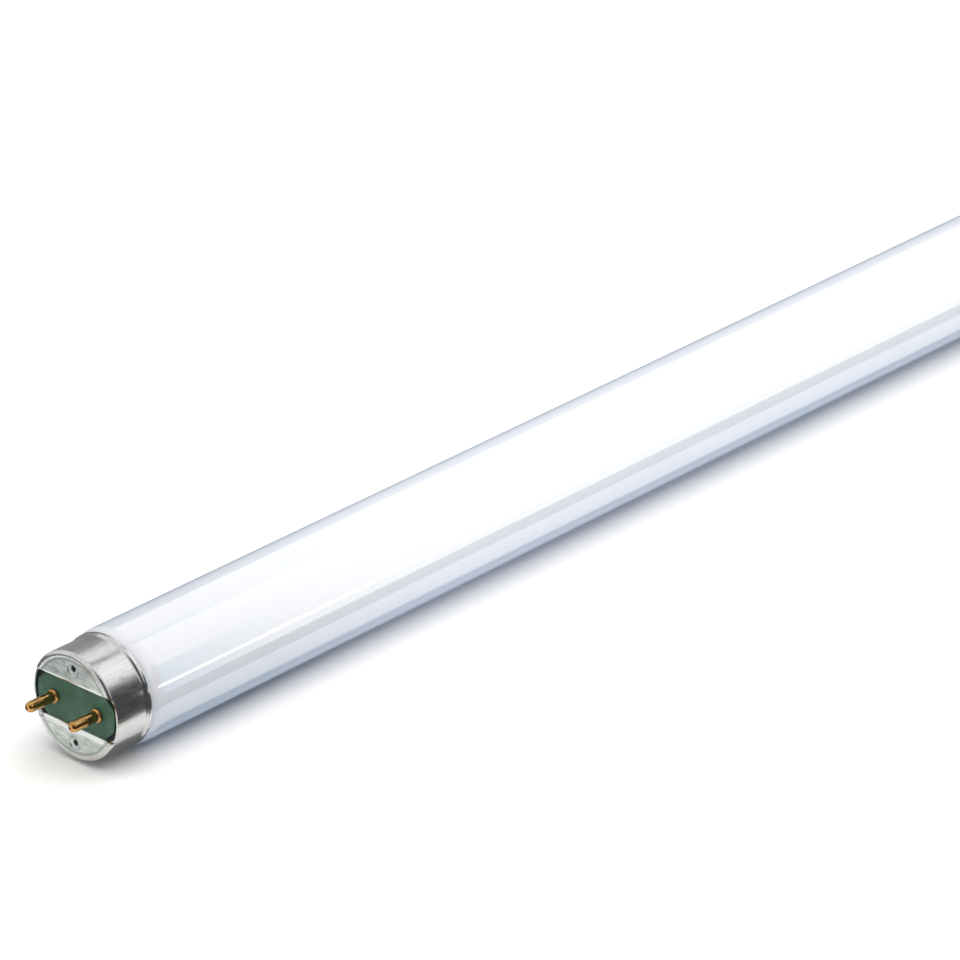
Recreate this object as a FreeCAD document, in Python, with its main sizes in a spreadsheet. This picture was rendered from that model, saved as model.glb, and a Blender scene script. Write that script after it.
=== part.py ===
import FreeCAD, Part
import math
import os
import Sketcher

# A linear fluorescent lamp, 26 mm in diameter, with a two-pin cap on each end.
# The lamp lies along X with its middle at the origin. Z is up, and both pins of a cap lie along Y.
# The near end is at -X. A cap is built with its end face at X = 0 and the tube on its +X side,
# then placed: the near one as it is, the far one turned half round about Z.

# The driving sizes in millimetres, and a few plain shares: alias, value and what it is
SIZES = [
    ("face_distance", 589.8, "end face of one cap to end face of the other"),
    ("tube_radius", 13.0, "outside of the glass tube"),
    ("glass_wall", 0.6, "thickness of the tube's glass"),
    ("neck_wall", 0.8, "thickness of the glass in the neck"),
    ("neck_rise", 4.8, "length over which the neck widens to the full tube"),
    ("shoulder_cover", 2.25, "how far the cap reaches over the widening of the neck"),
    ("end_gap", 1.85, "back of the insulating plate to the end of the glass"),
    ("rim_round", 1.3, "rounding of the glass where the stem is sealed to the tube"),
    ("stem_share", 0.407, "inside of the stem on its air side, as a share of the neck"),
    ("stem_wall", 0.9, "thickness of the stem's glass"),
    ("flare_run", 6.5, "length of the stem's flare"),
    ("stem_run", 14.0, "length of the stem's straight part"),
    ("press_length", 4.0, "length of the pinched end of the stem"),
    ("exhaust_radius", 2.0, "outside of the sealed exhaust tube"),
    ("exhaust_bore", 1.0, "bore radius of the exhaust tube"),
    ("exhaust_gap", 0.85, "back of the insulating plate to the tip of the exhaust tube"),
    ("exhaust_tip", 1.6, "thickness of the exhaust tube's sealed tip"),
    ("cap_step", 0.75, "how far the cap's wall lies inside the outside of the tube"),
    ("cement_wall", 0.55, "thickness of the cement between the cap and the neck"),
    ("sheet", 0.4, "thickness of the cap's sheet metal"),
    ("cap_length", 10.45, "end face of the cap to its open rim"),
    ("cap_corner", 1.0, "outside rounding between the end face and the wall"),
    ("ridge_rise", 0.14, "how far the ridge round the end face stands out of it"),
    ("ridge_run", 0.6, "width of the slope from the end face up to its ridge"),
    ("skirt_length", 1.5, "where the skirt begins to widen to the open rim"),
    ("skirt_run", 0.9, "length over which the skirt widens"),
    ("skirt_rise", 0.42, "how far the skirt widens, in radius"),
    ("rim_edge", 0.2, "rounding of the outer edge of the open rim"),
    ("slot_half", 4.9, "half the width of the slot across the end face"),
    ("lip_bend", 0.8, "outside bend radius of the slot's lips, and how deep the slot cuts the wall"),
    ("slot_corner", 1.8, "rounding in the four corners of the slot, seen from the front"),
    ("plate_recess", 0.85, "end face of the cap to the front of the plate"),
    ("plate_thickness", 1.5, "thickness of the insulating plate"),
    ("plate_play", 0.65, "gap between the insulating plate and the cap's wall"),
    ("plate_corner", 1.7, "how much each of the plate's four slanting edges takes off its round"),
    ("pin_pitch", 12.7, "between the two pins of a cap"),
    ("pin_radius", 1.2, "outside of a contact pin"),
    ("pin_wall", 0.45, "wall of a contact pin"),
    ("pin_reach", 7.1, "how far a pin stands out of the end face"),
    ("pin_hole_play", 0.05, "radial clearance of a pin in the plate"),
    ("tip_hole", 0.36, "radius of the hole in a pin's tip"),
    ("tip_wall", 0.8, "depth of the hole in a pin's tip"),
    ("tip_taper", 0.9, "length over which the bore narrows to the tip's hole"),
    ("bead_bulge", 0.38, "how far the bead at a pin's foot stands out of the pin"),
    ("bead_width", 0.88, "width of the bead at a pin's foot"),
    ("rivet_flange", 0.7, "how far a pin's riveted head stands out of the pin"),
    ("rivet_thickness", 0.5, "thickness of a pin's riveted head"),
    ("dimple_place", 0.52, "where a dimple lies across its part of the end face, as a share"),
    ("dimple_share", 0.36, "radius of a dimple, as a share of its part of the end face"),
    ("floor_share", 0.575, "radius of a dimple's flat floor, as a share of the dimple"),
    ("pierce_share", 0.35, "radius of the pierced hole, as a share of the dimple"),
    ("eyelet_share", 0.5, "outside of the eyelet through the plate, as a share of the dimple"),
    ("clinch_share", 0.8, "radius of the eyelet's head behind the plate, as a share of the dimple"),
    ("eyelet_play", 0.08, "radial clearance of an eyelet in the plate"),
    ("clinch_thickness", 0.35, "thickness of the eyelet's head behind the plate"),
    ("wire_radius", 0.25, "radius of a lead wire"),
    ("wire_recess", 0.15, "how far a lead wire ends inside its pin's tip"),
    ("wire_straight", 0.2, "back of a pin to the bend of its lead wire"),
    ("wire_bend_run", 6.0, "length of the bend of a lead wire along the lamp"),
]

# The two ends of the lamp: name, direction from the middle and turn about Z in degrees
ENDS = [("near", -1, 0), ("far", 1, 180)]
# The two pins of a cap, as seen by someone who faces that end
SIDES = [("left", 1), ("right", -1)]

# Sketcher's own numbers: a sketch's axes, the points of a line, an arc or a circle, and the origin
X_AXIS, Y_AXIS = -1, -2
FIRST_POINT, LAST_POINT, CENTRE_POINT = 1, 2, 3
ORIGIN = (-1, 1)

# A feature that changes its piece by less than this, in cubic millimetres, has failed
LEAST_CHANGE = 1e-4


class Size:
    """A length that knows its number and the sheet expression that gives it."""

    def __init__(self, number, text):
        self.number = number
        self.text = text

    def __add__(self, other):
        other = size(other)
        return Size(self.number + other.number, f"({self.text} + {other.text})")

    def __sub__(self, other):
        other = size(other)
        return Size(self.number - other.number, f"({self.text} - {other.text})")

    def __mul__(self, other):
        other = size(other)
        return Size(self.number * other.number, f"({self.text} * {other.text})")

    def __truediv__(self, other):
        other = size(other)
        return Size(self.number / other.number, f"({self.text} / {other.text})")

    def __neg__(self):
        return Size(-self.number, f"(-1 * {self.text})")


def size(value):
    """A plain number as a Size; a Size as it is."""
    if isinstance(value, Size):
        return value
    return Size(float(value), repr(float(value)))


def root(value):
    """The square root of a Size."""
    return Size(math.sqrt(value.number), f"sqrt({value.text})")


def fill_sheet(doc):
    """Writes the driving sizes to a sheet and returns all sizes by name."""
    sheet = doc.addObject("Spreadsheet::Sheet", "Sizes")
    named = {}
    for row, (name, value, meaning) in enumerate(SIZES, start=1):
        sheet.set(f"A{row}", meaning)
        sheet.set(f"B{row}", str(value))
        sheet.setAlias(f"B{row}", name)
        named[name] = Size(value, f"Sizes.{name}")
    doc.recompute()
    add_following(named)
    return named


def add_following(n):
    """Adds the sizes that follow from the driving ones. Those along X start at the end face of the cap."""
    # Outside and inside of the cap's wall, and outside of the glass that it covers
    n["cap_radius"] = n["tube_radius"] - n["cap_step"]
    n["cap_inside"] = n["cap_radius"] - n["sheet"]
    n["neck_radius"] = n["cap_inside"] - n["cement_wall"]
    # Where the glass begins to widen, and where the cap does
    n["neck_start"] = n["cap_length"] - n["shoulder_cover"]
    n["skirt_start"] = n["cap_length"] - n["skirt_length"]
    # The insulating plate: its back, its round ends and its slanting edges
    n["plate_back"] = n["plate_recess"] + n["plate_thickness"]
    n["plate_radius"] = n["cap_inside"] - n["plate_play"]
    n["plate_flat"] = n["plate_radius"] - n["plate_corner"]
    # The end of the glass, its stem and the exhaust tube in the stem
    n["glass_end"] = n["plate_back"] + n["end_gap"]
    n["flare_start"] = n["glass_end"] + n["rim_round"] + n["flare_run"]
    n["press_start"] = n["flare_start"] + n["stem_run"]
    n["stem_bore"] = n["neck_radius"] * n["stem_share"]
    n["exhaust_start"] = n["plate_back"] + n["exhaust_gap"]
    # The top of the ridge round the end face, the foot of its slope and the end of the rounding beyond it
    n["ridge_radius"] = n["cap_radius"] - n["cap_corner"]
    n["ridge_foot"] = n["ridge_radius"] - n["ridge_run"]
    n["corner_end"] = n["cap_corner"] - n["ridge_rise"]
    # Where a lip begins to bend, and the width of the flat part of the end face beyond it
    n["lip_line"] = n["slot_half"] + n["lip_bend"]
    n["face_land"] = n["ridge_radius"] - n["lip_line"]
    # A dimple, its flat floor, its pierced hole and the eyelet that passes through the plate
    n["dimple_offset"] = n["lip_line"] + n["face_land"] * n["dimple_place"]
    n["dimple_radius"] = n["face_land"] * n["dimple_share"]
    n["dimple_floor"] = n["dimple_radius"] * n["floor_share"]
    n["pierce_radius"] = n["dimple_radius"] * n["pierce_share"]
    n["eyelet_radius"] = n["dimple_radius"] * n["eyelet_share"]
    n["clinch_radius"] = n["dimple_radius"] * n["clinch_share"]
    # A pin's bore and its riveted head
    n["pin_bore"] = n["pin_radius"] - n["pin_wall"]
    n["rivet_radius"] = n["pin_radius"] + n["rivet_flange"]
    # A lead wire in the stem, midway between the stem and the exhaust tube, and where it begins to bend
    n["wire_spread"] = (n["stem_bore"] + n["exhaust_radius"]) / 2
    n["wire_bend_start"] = n["plate_back"] + n["rivet_thickness"] + n["wire_straight"]


# Paths are lists of corners (x, y) or (x, y, radius, turn). A corner with a radius is reached by an arc:
# turn is 1 where the arc bends to the left on its way and -1 where it bends to the right.


def backwards(path):
    """The same path from its last corner to its first."""
    corners = [tuple(size(v) for v in corner[:2]) for corner in path]
    arcs = [corner[2:] for corner in path]
    turned = [corners[-1]]
    for k in range(len(path) - 1, 0, -1):
        arc = (arcs[k][0], -arcs[k][1]) if arcs[k] else ()
        turned.append(corners[k - 1] + arc)
    return turned


def s_curve(x0, y0, x1, y1):
    """Two equal arcs from (x0, y0) to (x1, y1), level at both ends, with both ends rising to the right."""
    run = size(x1) - x0
    rise = size(y1) - y0
    radius = (run * run + rise * rise) / (rise * 4)
    middle = ((size(x0) + x1) / 2, (size(y0) + y1) / 2)
    return [(x0, y0), middle + (radius, 1), (x1, y1, radius, -1)]


def arc_centre(start, end, radius, turn):
    """The centre of the short arc of this radius from start to end."""
    chord = end - start
    half = chord.Length / 2
    left = FreeCAD.Vector(-chord.y, chord.x, 0).normalize()
    return (start + end) * 0.5 + left * (turn * math.sqrt(max(radius**2 - half**2, 0)))


def pin_corner(sketch, geometry, point, corner):
    """Holds one end of a line or an arc at a corner by expressions."""
    distances = ((Y_AXIS, "DistanceX", size(corner[0])), (X_AXIS, "DistanceY", size(corner[1])))
    for axis, kind, value in distances:
        if value.text == "0.0":
            sketch.addConstraint(Sketcher.Constraint("PointOnObject", geometry, point, axis))
            continue
        number = sketch.addConstraint(Sketcher.Constraint(kind, *ORIGIN, geometry, point, value.number))
        sketch.setExpression(f"Constraints[{number}]", value.text)


def draw(sketch, path, closed=True):
    """Draws a path of lines and arcs and holds every corner and radius by an expression."""
    points = [FreeCAD.Vector(size(c[0]).number, size(c[1]).number, 0) for c in path]
    segments = [(k, k + 1) for k in range(len(path) - 1)]
    if closed:
        segments.append((len(path) - 1, 0))
    joints = []
    for begin, finish in segments:
        arc = path[finish][2:]
        if arc:
            radius, turn = size(arc[0]), arc[1]
            centre = arc_centre(points[begin], points[finish], radius.number, turn)
            from_point, to_point = (points[begin], points[finish])[::turn]
            angles = [math.atan2(p.y - centre.y, p.x - centre.x) for p in (from_point, to_point)]
            if angles[1] < angles[0]:
                angles[1] += 2 * math.pi
            circle = Part.Circle(centre, FreeCAD.Vector(0, 0, 1), radius.number)
            number = sketch.addGeometry(Part.ArcOfCircle(circle, *angles), False)
            joints.append((number, (FIRST_POINT, LAST_POINT)[::turn]))
        else:
            number = sketch.addGeometry(Part.LineSegment(points[begin], points[finish]), False)
            joints.append((number, (FIRST_POINT, LAST_POINT)))
    for k, (number, ends) in enumerate(joints):
        begin, finish = segments[k]
        if k == 0:
            pin_corner(sketch, number, ends[0], path[begin])
        else:
            before, before_ends = joints[k - 1]
            sketch.addConstraint(Sketcher.Constraint("Coincident", before, before_ends[1], number, ends[0]))
        if closed and finish == 0:
            first, first_ends = joints[0]
            sketch.addConstraint(Sketcher.Constraint("Coincident", number, ends[1], first, first_ends[0]))
        else:
            pin_corner(sketch, number, ends[1], path[finish])
        if path[finish][2:]:
            radius = size(path[finish][2])
            held = sketch.addConstraint(Sketcher.Constraint("Radius", number, radius.number))
            sketch.setExpression(f"Constraints[{held}]", radius.text)


def draw_circle(sketch, x, y, radius):
    """Draws a circle and holds its centre and radius by expressions."""
    x, y, radius = size(x), size(y), size(radius)
    centre = FreeCAD.Vector(x.number, y.number, 0)
    number = sketch.addGeometry(Part.Circle(centre, FreeCAD.Vector(0, 0, 1), radius.number), False)
    pin_corner(sketch, number, CENTRE_POINT, (x, y))
    held = sketch.addConstraint(Sketcher.Constraint("Radius", number, radius.number))
    sketch.setExpression(f"Constraints[{held}]", radius.text)


def origin_part(body, role):
    """One of a body's own origin planes or axes."""
    return next(f for f in body.Origin.OriginFeatures if f.Role == role)


def sketch_on(body, role, name, lift=None, shift=None):
    """A sketch on an origin plane of its body, lifted off it along its normal or shifted up in it."""
    sketch = body.newObject("Sketcher::SketchObject", f"{body.Name}_{name}")
    sketch.AttachmentSupport = (origin_part(body, role), [""])
    sketch.MapMode = "FlatFace"
    for axis, offset in (("z", lift), ("y", shift)):
        if offset is not None:
            sketch.setExpression(f"AttachmentOffset.Base.{axis}", size(offset).text)
    return sketch


def turned(body, sketch, kind, axis=None):
    """Turns a sketch once round the body's X axis, or round another axis, as a Revolution or a Groove."""
    feature = body.newObject(f"PartDesign::{kind}", f"{sketch.Name}_{kind.lower()}")
    feature.Profile = sketch
    feature.ReferenceAxis = axis or (origin_part(body, "X_Axis"), [""])
    feature.Angle = 360
    return feature


def pushed(body, sketch, kind, length, side="One side", reverse=False):
    """Pushes a sketch along its normal as a Pad or a Pocket."""
    feature = body.newObject(f"PartDesign::{kind}", f"{sketch.Name}_{kind.lower()}")
    feature.Profile = sketch
    feature.SideType = side
    feature.Reversed = reverse
    feature.setExpression("Length", size(length).text)
    return feature


def new_body(doc, label):
    """An empty body, which becomes one piece of the lamp."""
    body = doc.addObject("PartDesign::Body", label)
    body.Label = label
    return body


def place_at_end(body, named, direction, turn):
    """Puts a piece of a cap at its end of the lamp."""
    body.Placement.Rotation = FreeCAD.Rotation(FreeCAD.Vector(0, 0, 1), turn)
    body.setExpression("Placement.Base.x", (named["face_distance"] / 2 * direction).text)


def glass_bulb(doc, named):
    """The sealed glass: a hollow tube, necked at both ends and closed there by a flared stem."""
    n = named
    body = new_body(doc, "glass_bulb")
    face = -n["face_distance"] / 2
    neck_end = n["neck_start"] + n["neck_rise"]

    # The rounded end of the glass, and the stem's trumpet that runs smoothly into it
    rim_x = n["glass_end"] + n["rim_round"]
    rim_y = n["neck_radius"] - n["rim_round"]
    across = n["flare_start"] - rim_x
    along = rim_y - n["stem_bore"]
    flare = (across * across + along * along - n["rim_round"] * n["rim_round"]) / (
        (along - n["rim_round"]) * 2
    )
    share = n["rim_round"] / (flare - n["rim_round"])
    flare_y = n["stem_bore"] + flare
    inner_flare = flare - n["stem_wall"]
    neck_inside = n["neck_radius"] - n["neck_wall"]
    drop = flare_y - neck_inside
    pocket_x = n["flare_start"] - root(inner_flare * inner_flare - drop * drop)

    def at_end(x, y, *arc):
        return (face + x, y, *arc)

    def at_end_all(path):
        return [at_end(*corner) for corner in path]

    air_side = at_end_all(
        [
            (n["exhaust_start"], 0),
            (n["exhaust_start"] + n["exhaust_radius"], n["exhaust_radius"], n["exhaust_radius"], -1),
            (n["press_start"], n["exhaust_radius"]),
            (n["press_start"], n["stem_bore"]),
            (n["flare_start"], n["stem_bore"]),
            (rim_x - across * share, rim_y - (flare - along) * share, flare, -1),
            (rim_x, n["neck_radius"], n["rim_round"], -1),
        ]
        + s_curve(n["neck_start"], n["neck_radius"], neck_end, n["tube_radius"])
    )
    tube_inside = n["tube_radius"] - n["glass_wall"]
    sealed_side = at_end_all(
        [
            (n["exhaust_start"] + n["exhaust_tip"], 0),
            (n["exhaust_start"] + n["exhaust_tip"], n["exhaust_bore"]),
            (n["press_start"] + n["press_length"], n["exhaust_bore"]),
            (n["press_start"] + n["press_length"], n["stem_bore"] + n["stem_wall"]),
            (n["flare_start"], n["stem_bore"] + n["stem_wall"]),
            (pocket_x, neck_inside, inner_flare, -1),
        ]
        + s_curve(n["neck_start"], neck_inside, neck_end, tube_inside)
    )
    section = sketch_on(body, "XY_Plane", "section")
    draw(section, air_side + [(0, n["tube_radius"]), (0, tube_inside)] + backwards(sealed_side))
    half = turned(body, section, "Revolution")

    whole = body.newObject("PartDesign::Mirrored", "glass_bulb_mirrored")
    whole.Originals = [half]
    whole.MirrorPlane = (origin_part(body, "YZ_Plane"), [""])
    body.Tip = whole
    return body


def cap_shell(doc, named, end):
    """The drawn aluminium cap: a ridged end face with a slot, lips and pierced dimples, and a wide skirt."""
    n = named
    body = new_body(doc, f"{end}_cap_shell")
    inside = n["cap_inside"]
    skirt_end = n["skirt_start"] + n["skirt_run"]
    back_ridge = n["sheet"] - n["ridge_rise"]

    # The drawn cup, as turned sheet
    section = sketch_on(body, "XY_Plane", "section")
    outside_path = (
        [(0, 0)]
        + slope(n["ridge_foot"], size(0), n["ridge_radius"], -n["ridge_rise"])
        + [(n["corner_end"], n["cap_radius"], n["cap_corner"], -1)]
        + s_curve(n["skirt_start"], n["cap_radius"], skirt_end, n["cap_radius"] + n["skirt_rise"])
        + [
            (n["cap_length"] - n["rim_edge"], n["cap_radius"] + n["skirt_rise"]),
            (n["cap_length"], n["cap_radius"] + n["skirt_rise"] - n["rim_edge"], n["rim_edge"], -1),
        ]
    )
    inside_path = (
        [(n["sheet"], 0)]
        + slope(n["ridge_foot"], n["sheet"], n["ridge_radius"], back_ridge)
        + [(n["corner_end"], inside, n["cap_corner"] - n["sheet"], -1)]
        + s_curve(n["skirt_start"], inside, skirt_end, inside + n["skirt_rise"])
        + [(n["cap_length"], inside + n["skirt_rise"])]
    )
    draw(section, outside_path + backwards(inside_path))
    turned(body, section, "Revolution")

    # The two lips, square on their outer side until the slot is cut
    lips = sketch_on(body, "XZ_Plane", "lips")
    bend_inside = n["lip_bend"] - n["sheet"]
    for way in (1, -1):
        draw(
            lips,
            [
                (0, n["slot_half"] * way),
                (n["plate_recess"], n["slot_half"] * way),
                (n["plate_recess"], (n["slot_half"] + n["sheet"]) * way),
                (n["lip_bend"], (n["slot_half"] + n["sheet"]) * way),
                (n["sheet"], n["lip_line"] * way, bend_inside, -way),
                (0, n["lip_line"] * way),
            ],
        )
    pushed(body, lips, "Pad", n["cap_radius"] * 2, "Symmetric")

    # What sticks out of the rounded corner is trimmed off
    trim = sketch_on(body, "XY_Plane", "trim")
    clear = n["cap_radius"] * 2
    draw(
        trim,
        [
            (-n["ridge_rise"], n["ridge_radius"]),
            (n["corner_end"], n["cap_radius"], n["cap_corner"], -1),
            (n["corner_end"], clear),
            (-n["cap_corner"], clear),
            (-n["cap_corner"], n["ridge_radius"]),
        ],
    )
    turned(body, trim, "Groove")

    # The slot right across the end, rounded over along both lips
    slot = sketch_on(body, "XZ_Plane", "slot")
    upper = [
        (n["lip_bend"], n["slot_half"]),
        (0, n["lip_line"], n["lip_bend"], -1),
        (-n["cap_corner"], n["lip_line"]),
    ]
    lower = [
        (n["lip_bend"], -n["slot_half"]),
        (0, -n["lip_line"], n["lip_bend"], 1),
        (-n["cap_corner"], -n["lip_line"]),
    ]
    draw(slot, upper + backwards(lower))
    pushed(body, slot, "Pocket", n["cap_radius"] * 4, "Symmetric")
    slot_corners(body, n)

    # The dimples, pierced and clinched behind the plate like an eyelet
    clinch_back = n["plate_back"] + n["clinch_thickness"]
    beyond = clinch_back + n["clinch_thickness"]
    floor = n["plate_recess"] - n["sheet"]
    for number, way in ((1, 1), (2, -1)):
        middle = n["dimple_offset"] * way
        boss = sketch_on(body, "XZ_Plane", f"boss_{number}", shift=middle)
        dish_back = slope(n["dimple_floor"], n["plate_recess"], n["dimple_radius"], n["sheet"])
        draw(
            boss,
            [
                (n["sheet"] / 2, 0),
                (clinch_back, 0),
                (clinch_back, n["clinch_radius"]),
                (n["plate_back"], n["clinch_radius"]),
                (n["plate_back"], n["eyelet_radius"]),
                (n["plate_recess"], n["eyelet_radius"]),
            ]
            + dish_back
            + [(n["sheet"] / 2, n["dimple_radius"])],
        )
        turned(body, boss, "Revolution", (boss, ["H_Axis"]))
        dish = sketch_on(body, "XZ_Plane", f"dish_{number}", shift=middle)
        dish_front = slope(n["dimple_floor"], floor, n["dimple_radius"], size(0))
        draw(
            dish,
            [
                (-n["sheet"], 0),
                (beyond, 0),
                (beyond, n["pierce_radius"]),
                (floor, n["pierce_radius"]),
            ]
            + dish_front
            + [(-n["sheet"], n["dimple_radius"])],
        )
        turned(body, dish, "Groove", (dish, ["H_Axis"]))
    return body


def slope(low_radius, low_depth, high_radius, high_depth):
    """A turned slope from its foot out to its top: two equal arcs, level at both ends."""
    run = high_radius - low_radius
    rise = low_depth - high_depth
    radius = (run * run + rise * rise) / (rise * 4)
    middle = ((low_depth + high_depth) / 2, (low_radius + high_radius) / 2)
    return [(low_depth, low_radius), middle + (radius, 1), (high_depth, high_radius, radius, -1)]


def slot_corners(body, n):
    """The sheet that runs round the four corners of the slot, from each lip to the wall."""
    inside, rounding = n["cap_inside"], n["slot_corner"]
    # The rounding touches the lip at (middle_y, slot_half) and the wall on the line through its own middle
    middle_z = n["slot_half"] - rounding
    to_middle = inside - rounding
    middle_y = root(to_middle * to_middle - middle_z * middle_z)
    reach = inside / to_middle
    # It is fused by half a sheet into the wall and the lip
    deep = inside + n["sheet"] / 2
    into_wall = deep / to_middle
    into_lip = n["slot_half"] + n["sheet"] / 2
    corners = sketch_on(body, "YZ_Plane", "corners", lift=n["lip_bend"])
    for way_y in (1, -1):
        for way_z in (1, -1):
            turn = way_y * way_z
            draw(
                corners,
                [
                    (middle_y * way_y, into_lip * way_z),
                    (middle_y * way_y, n["slot_half"] * way_z),
                    (middle_y * reach * way_y, middle_z * reach * way_z, rounding, -turn),
                    (middle_y * into_wall * way_y, middle_z * into_wall * way_z),
                    (root(deep * deep - into_lip * into_lip) * way_y, into_lip * way_z, deep, turn),
                ],
            )
    pushed(body, corners, "Pad", n["sheet"])


def insulating_plate(doc, named, end):
    """The plate between the pins and the cap: four round edges, four slanting ones and four holes."""
    n = named
    body = new_body(doc, f"{end}_insulating_plate")
    outline = sketch_on(body, "YZ_Plane", "outline", lift=n["plate_recess"])
    reach = root(n["plate_radius"] * n["plate_radius"] - n["plate_flat"] * n["plate_flat"])
    long_side = (n["plate_flat"] + reach) / math.sqrt(2)
    short_side = (n["plate_flat"] - reach) / math.sqrt(2)
    radius = n["plate_radius"]
    draw(
        outline,
        [
            (long_side, -short_side),
            (long_side, short_side, radius, 1),
            (short_side, long_side),
            (-short_side, long_side, radius, 1),
            (-long_side, short_side),
            (-long_side, -short_side, radius, 1),
            (-short_side, -long_side),
            (short_side, -long_side, radius, 1),
        ],
    )
    pushed(body, outline, "Pad", n["plate_thickness"])
    holes = sketch_on(body, "YZ_Plane", "holes", lift=n["plate_recess"])
    pin_hole = n["pin_radius"] + n["pin_hole_play"]
    eyelet_hole = n["eyelet_radius"] + n["eyelet_play"]
    for way in (1, -1):
        draw_circle(holes, n["pin_pitch"] / 2 * way, 0, pin_hole)
        draw_circle(holes, 0, n["dimple_offset"] * way, eyelet_hole)
    pushed(body, holes, "Pocket", n["plate_thickness"] * 2, reverse=True)
    return body


def contact_pin(doc, named, end, side, way):
    """A hollow pin with a rounded, pierced tip, a bead on the plate and a riveted head behind it."""
    n = named
    body = new_body(doc, f"{end}_{side}_pin")
    # The tip's face is the ring where the dome meets the tip's hole
    tip_face = -n["pin_reach"]
    dome = tip_face + root(n["pin_radius"] * n["pin_radius"] - n["tip_hole"] * n["tip_hole"])
    bead_middle = n["plate_recess"] - n["bead_width"] / 2
    half_bead = n["bead_width"] / 2
    bead_round = (half_bead * half_bead + n["bead_bulge"] * n["bead_bulge"]) / (n["bead_bulge"] * 2)
    bead_top = n["pin_radius"] + n["bead_bulge"]
    section = sketch_on(body, "XY_Plane", "section", shift=n["pin_pitch"] / 2 * way)
    draw(
        section,
        [
            (tip_face, n["tip_hole"]),
            (dome, n["pin_radius"], n["pin_radius"], -1),
            (bead_middle - half_bead, n["pin_radius"]),
            (bead_middle, bead_top, bead_round, -1),
            (n["plate_recess"], n["pin_radius"], bead_round, -1),
            (n["plate_back"], n["pin_radius"]),
            (n["plate_back"], n["rivet_radius"]),
            (n["plate_back"] + n["rivet_thickness"], n["pin_radius"] + n["pin_hole_play"]),
            (n["plate_back"] + n["rivet_thickness"], n["pin_bore"]),
            (tip_face + n["tip_wall"] + n["tip_taper"], n["pin_bore"]),
            (tip_face + n["tip_wall"], n["tip_hole"]),
        ],
    )
    turned(body, section, "Revolution", (section, ["H_Axis"]))
    return body


def cement_ring(doc, named, end):
    """The set cement that bonds the cap's wall to the neck of the glass."""
    n = named
    body = new_body(doc, f"{end}_cement_ring")
    rim_x = n["glass_end"] + n["rim_round"]
    section = sketch_on(body, "XY_Plane", "section")
    draw(
        section,
        [
            (rim_x, n["neck_radius"]),
            (rim_x, n["cap_inside"]),
            (n["neck_start"], n["cap_inside"]),
            (n["neck_start"], n["neck_radius"]),
        ],
    )
    turned(body, section, "Revolution")
    return body


def lead_wire(doc, named, end, side, way):
    """A lead wire from the stem's pinched end, bent outwards and through the hollow pin to its tip."""
    n = named
    body = new_body(doc, f"{end}_{side}_lead_wire")
    start = n["wire_recess"] - n["pin_reach"]
    outer = n["pin_pitch"] / 2 * way
    inner = n["wire_spread"] * way
    bend_end = n["wire_bend_start"] + n["wire_bend_run"]
    spread = n["pin_pitch"] / 2 - n["wire_spread"]
    bend = (n["wire_bend_run"] * n["wire_bend_run"] + spread * spread) / (spread * 4)
    middle = ((n["wire_bend_start"] + bend_end) / 2, (outer + inner) / 2)
    route = sketch_on(body, "XY_Plane", "route")
    draw(
        route,
        [
            (start, outer),
            (n["wire_bend_start"], outer),
            middle + (bend, -way),
            (bend_end, inner, bend, way),
            (n["press_start"], inner),
        ],
        closed=False,
    )
    round_wire = sketch_on(body, "YZ_Plane", "round", lift=start)
    draw_circle(round_wire, outer, 0, n["wire_radius"])
    pipe = body.newObject("PartDesign::AdditivePipe", f"{body.Name}_pipe")
    pipe.Profile = round_wire
    pipe.Spine = (route, [f"Edge{k}" for k in range(1, len(route.Geometry) + 1)])
    return body


def check(doc, bodies):
    """Stops if a feature failed or changed nothing, or if a piece isn't one valid solid."""
    for item in doc.Objects:
        if "Invalid" in item.State or "Error" in item.State:
            raise RuntimeError(f"{item.Name} is {item.State}")
        before = getattr(item, "BaseFeature", None)
        if before is None or item.TypeId == "PartDesign::Body":
            continue
        change = item.Shape.Volume - before.Shape.Volume
        cuts = item.TypeId in ("PartDesign::Pocket", "PartDesign::Groove")
        if (-change if cuts else change) < LEAST_CHANGE:
            raise RuntimeError(f"{item.Name} changed the volume by {change} cubic mm")
    for body in bodies:
        shape = body.Shape
        if shape.isNull() or not shape.isValid() or len(shape.Solids) != 1:
            raise RuntimeError(f"{body.Label} isn't one valid solid")
        print(f"{body.Label}: {shape.Volume:.2f} cubic mm")


def main():
    doc = FreeCAD.newDocument("fluorescent_tube")
    named = fill_sheet(doc)
    bodies = [glass_bulb(doc, named)]
    for end, direction, turn in ENDS:
        pieces = [
            cap_shell(doc, named, end),
            insulating_plate(doc, named, end),
            cement_ring(doc, named, end),
        ]
        for side, way in SIDES:
            pieces.append(contact_pin(doc, named, end, side, way))
            pieces.append(lead_wire(doc, named, end, side, way))
        for piece in pieces:
            place_at_end(piece, named, direction, turn)
        bodies += pieces
    doc.recompute()
    check(doc, bodies)
    os.makedirs("parts", exist_ok=True)
    for body in bodies:
        body.Shape.exportStep(f"parts/{body.Label}.step")


main()
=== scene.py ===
import math

import bmesh
import bpy
from bpy.props import FloatProperty, FloatVectorProperty, IntProperty, PointerProperty
from mathutils import Matrix, Vector


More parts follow.
